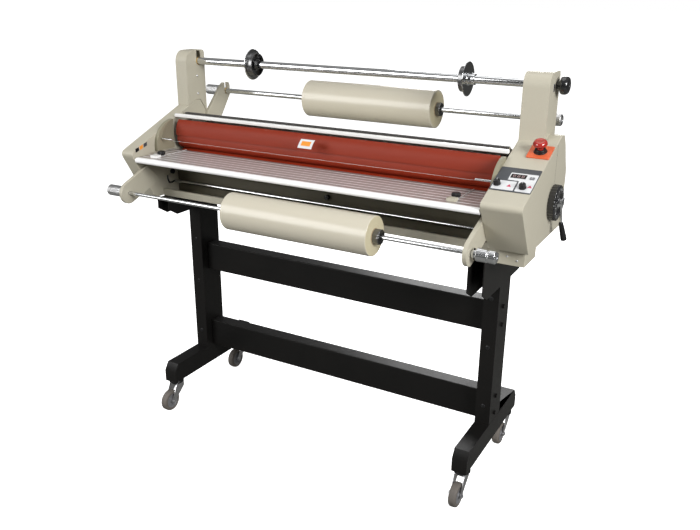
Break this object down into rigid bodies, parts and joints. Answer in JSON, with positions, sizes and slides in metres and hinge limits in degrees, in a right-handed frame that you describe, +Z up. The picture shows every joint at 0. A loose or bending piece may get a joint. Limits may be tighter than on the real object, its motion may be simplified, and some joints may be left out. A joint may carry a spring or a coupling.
{
  "type": "roll laminator",
  "caption": "Wide hot roll laminator on a wheeled stand, with heated and pull rollers, film rolls above and below, feed table, clear shield, rewind rod and sloping control panel.",
  "frame": {"origin": "on the floor, at the middle of the bounding box", "axes": "+Z up, +X to the operator's right along the rollers, -Y towards the operator, who feeds from -Y to +Y"},
  "size_m": [1.4016, 0.635, 1.2645],
  "materials": {
    "beige": "fine satin powder coat",
    "black_steel": "satin powder coat",
    "zinc": "dull zinc plate",
    "chrome": "bright plate",
    "aluminium": "brushed and anodised",
    "steel": "brushed",
    "tyre": "dull, scuffed",
    "roller_rubber": "ground matte",
    "silicone": "smooth satin",
    "black_plastic": "fine satin",
    "film": "satin, wound film",
    "clear": "clear, polished",
    "white_plastic": "satin",
    "orange": "satin",
    "red": "satin gloss",
    "overlay": "fine texture",
    "green_board": "lacquered"
  },
  "bodies": {
    "frame": {"leg_left": "black_steel", "leg_right": "black_steel", "beam_upper": "black_steel", "beam_lower": "black_steel", "housing_left": "beige", "housing_right": "beige", "post_left": "beige", "post_right": "beige", "film_arm_lower_left": "beige", "film_arm_lower_right": "beige", "film_arm_upper_left": "beige", "film_arm_upper_right": "beige", "front_panel": "beige", "rear_cover": "beige", "top_cover": "beige", "gear_motor": "steel", "control_board": "green_board", "power_inlet": "black_plastic", "estop_base": "orange", "control_panel": "overlay", "display": "black_plastic", "pressure_dial": "black_plastic"},
    "caster_front_left": {"caster_fork_front_left": "zinc"},
    "wheel_front_left": {"caster_wheel_front_left": "tyre"},
    "caster_front_right": {"caster_fork_front_right": "zinc"},
    "wheel_front_right": {"caster_wheel_front_right": "tyre"},
    "caster_rear_left": {"caster_fork_rear_left": "zinc"},
    "wheel_rear_left": {"caster_wheel_rear_left": "tyre"},
    "caster_rear_right": {"caster_fork_rear_right": "zinc"},
    "wheel_rear_right": {"caster_wheel_rear_right": "tyre"},
    "table": {"feed_table": "aluminium"},
    "guide_left": {"paper_guide_left": "white_plastic"},
    "clamp_left": {"guide_knob_left": "black_plastic"},
    "guide_right": {"paper_guide_right": "beige"},
    "clamp_right": {"guide_knob_right": "black_plastic"},
    "shield": {"shield": "clear", "shield_bar": "white_plastic"},
    "heat_roller_bottom": {"heat_roller_bottom": "silicone"},
    "pressure_lever": {"pressure_lever": "zinc"},
    "nip_yoke": {"nip_yoke": "steel"},
    "heat_roller_top": {"heat_roller_top": "silicone"},
    "pull_roller_bottom": {"pull_roller_bottom": "roller_rubber"},
    "pull_roller_top": {"pull_roller_top": "roller_rubber"},
    "idler_rod": {"idler_rod": "chrome"},
    "film_supply_lower": {"film_shaft_lower": "chrome", "film_roll_lower": "film", "core_chuck_lower": "black_plastic"},
    "tension_knob_lower": {"tension_knob_lower": "chrome"},
    "film_supply_upper": {"film_shaft_upper": "chrome", "film_roll_upper": "film", "core_chuck_upper": "black_plastic"},
    "tension_knob_upper": {"tension_knob_upper": "steel"},
    "rewind_rod": {"rewind_rod": "chrome"},
    "rewind_knob": {"rewind_knob": "black_plastic"},
    "rewind_disc_left": {"rewind_disc_left": "chrome"},
    "rewind_disc_right": {"rewind_disc_right": "chrome"},
    "estop_button": {"estop_button": "red"},
    "rocker_button": {"rocker_button": "black_plastic"},
    "temperature_knob": {"temperature_knob": "black_plastic"},
    "speed_knob": {"speed_knob": "black_plastic"}
  },
  "joints": [
    {"name": "caster_front_left_swivel", "type": "hinge", "parent": "frame", "child": "caster_front_left", "pos_m": [-0.60024, -0.1325, 0.107], "axis": [0, 0, 1], "continuous": true},
    {"name": "wheel_front_left_roll", "type": "hinge", "parent": "caster_front_left", "child": "wheel_front_left", "pos_m": [-0.60024, -0.1725, 0.038], "axis": [1, 0, 0], "continuous": true},
    {"name": "caster_front_right_swivel", "type": "hinge", "parent": "frame", "child": "caster_front_right", "pos_m": [0.51176, -0.1325, 0.107], "axis": [0, 0, 1], "continuous": true},
    {"name": "wheel_front_right_roll", "type": "hinge", "parent": "caster_front_right", "child": "wheel_front_right", "pos_m": [0.51176, -0.1725, 0.038], "axis": [1, 0, 0], "continuous": true},
    {"name": "caster_rear_left_swivel", "type": "hinge", "parent": "frame", "child": "caster_rear_left", "pos_m": [-0.60024, 0.2575, 0.107], "axis": [0, 0, 1], "continuous": true},
    {"name": "wheel_rear_left_roll", "type": "hinge", "parent": "caster_rear_left", "child": "wheel_rear_left", "pos_m": [-0.60024, 0.2175, 0.038], "axis": [1, 0, 0], "continuous": true},
    {"name": "caster_rear_right_swivel", "type": "hinge", "parent": "frame", "child": "caster_rear_right", "pos_m": [0.51176, 0.2575, 0.107], "axis": [0, 0, 1], "continuous": true},
    {"name": "wheel_rear_right_roll", "type": "hinge", "parent": "caster_rear_right", "child": "wheel_rear_right", "pos_m": [0.51176, 0.2175, 0.038], "axis": [1, 0, 0], "continuous": true},
    {"name": "table_draw", "type": "slide", "parent": "frame", "child": "table", "axis": [0, -1, 0], "range_m": [0, 0.29]},
    {"name": "guide_left_slide", "type": "slide", "parent": "table", "child": "guide_left", "axis": [1, 0, 0], "range_m": [-0.03, 0.38]},
    {"name": "guide_left_clamp", "type": "hinge", "parent": "guide_left", "child": "clamp_left", "pos_m": [-0.57424, -0.1505, 0.9396], "axis": [0, 0, 1], "range_deg": [0, 270]},
    {"name": "guide_right_slide", "type": "slide", "parent": "table", "child": "guide_right", "axis": [1, 0, 0], "range_m": [-0.38, 0.06]},
    {"name": "guide_right_clamp", "type": "hinge", "parent": "guide_right", "child": "clamp_right", "pos_m": [0.44876, -0.1505, 0.9396], "axis": [0, 0, 1], "range_deg": [0, 270]},
    {"name": "shield_hinge", "type": "hinge", "parent": "frame", "child": "shield", "pos_m": [-0.04424, -0.0105, 1.0463], "axis": [-1, 0, 0], "range_deg": [0, 100]},
    {"name": "heat_roller_bottom_spin", "type": "hinge", "parent": "frame", "child": "heat_roller_bottom", "pos_m": [-0.04424, 0.0025, 0.90205], "axis": [1, 0, 0], "continuous": true},
    {"name": "pressure_lever_turn", "type": "hinge", "parent": "frame", "child": "pressure_lever", "pos_m": [0.67576, 0.0505, 0.908], "axis": [-1, 0, 0], "range_deg": [0, 80]},
    {"name": "nip_lift", "type": "slide", "parent": "frame", "child": "nip_yoke", "axis": [0, 0, 1], "range_m": [0, 0.01]},
    {"name": "heat_roller_top_spin", "type": "hinge", "parent": "nip_yoke", "child": "heat_roller_top", "pos_m": [-0.04424, 0.0025, 0.97435], "axis": [1, 0, 0], "continuous": true},
    {"name": "pull_roller_bottom_spin", "type": "hinge", "parent": "frame", "child": "pull_roller_bottom", "pos_m": [-0.04424, 0.1275, 0.90805], "axis": [1, 0, 0], "continuous": true},
    {"name": "pull_roller_top_spin", "type": "hinge", "parent": "frame", "child": "pull_roller_top", "pos_m": [-0.04424, 0.1275, 0.96835], "axis": [1, 0, 0], "continuous": true},
    {"name": "idler_rod_spin", "type": "hinge", "parent": "frame", "child": "idler_rod", "pos_m": [-0.04424, -0.0335, 0.824], "axis": [1, 0, 0], "continuous": true},
    {"name": "film_supply_lower_spin", "type": "hinge", "parent": "frame", "child": "film_supply_lower", "pos_m": [-0.04424, -0.2615, 0.832], "axis": [1, 0, 0], "continuous": true},
    {"name": "tension_knob_lower_turn", "type": "hinge", "parent": "film_supply_lower", "child": "tension_knob_lower", "pos_m": [0.57576, -0.2615, 0.832], "axis": [1, 0, 0], "range_deg": [-180, 180]},
    {"name": "film_supply_upper_spin", "type": "hinge", "parent": "frame", "child": "film_supply_upper", "pos_m": [-0.04424, 0.2575, 1.1], "axis": [1, 0, 0], "continuous": true},
    {"name": "tension_knob_upper_turn", "type": "hinge", "parent": "film_supply_upper", "child": "tension_knob_upper", "pos_m": [0.57576, 0.2575, 1.1], "axis": [1, 0, 0], "range_deg": [-180, 180]},
    {"name": "rewind_rod_spin", "type": "hinge", "parent": "frame", "child": "rewind_rod", "pos_m": [-0.04424, 0.1265, 1.2145], "axis": [1, 0, 0], "continuous": true},
    {"name": "rewind_knob_turn", "type": "hinge", "parent": "rewind_rod", "child": "rewind_knob", "pos_m": [0.63576, 0.1265, 1.2145], "axis": [1, 0, 0], "range_deg": [-180, 180]},
    {"name": "rewind_disc_left_slide", "type": "slide", "parent": "rewind_rod", "child": "rewind_disc_left", "axis": [1, 0, 0], "range_m": [-0.2, 0.28]},
    {"name": "rewind_disc_right_slide", "type": "slide", "parent": "rewind_rod", "child": "rewind_disc_right", "axis": [1, 0, 0], "range_m": [-0.3, 0.15]},
    {"name": "estop_press", "type": "slide", "parent": "frame", "child": "estop_button", "axis": [0, 0.3714, -0.9285], "range_m": [0, 0.005], "stiffness_N_per_m": 400},
    {"name": "rocker_tilt", "type": "hinge", "parent": "frame", "child": "rocker_button", "pos_m": [0.63576, -0.10659, 1.00159], "axis": [1, 0, 0], "range_deg": [-5, 5]},
    {"name": "temperature_knob_turn", "type": "hinge", "parent": "frame", "child": "temperature_knob", "pos_m": [0.55576, -0.14427, 0.98835], "axis": [0, -0.3714, 0.9285], "range_deg": [-135, 135]},
    {"name": "speed_knob_turn", "type": "hinge", "parent": "frame", "child": "speed_knob", "pos_m": [0.62416, -0.14752, 0.98705], "axis": [0, -0.3714, 0.9285], "range_deg": [-135, 135]}
  ],
  "couplings": [
    {"joint": "heat_roller_top_spin", "follows": "heat_roller_bottom_spin", "ratio": -1},
    {"joint": "pull_roller_bottom_spin", "follows": "heat_roller_bottom_spin", "ratio": 1.2},
    {"joint": "pull_roller_top_spin", "follows": "heat_roller_bottom_spin", "ratio": -1.2},
    {"joint": "pressure_lever_turn", "follows": "nip_lift", "rad_per_m": 139.6}
  ]
}
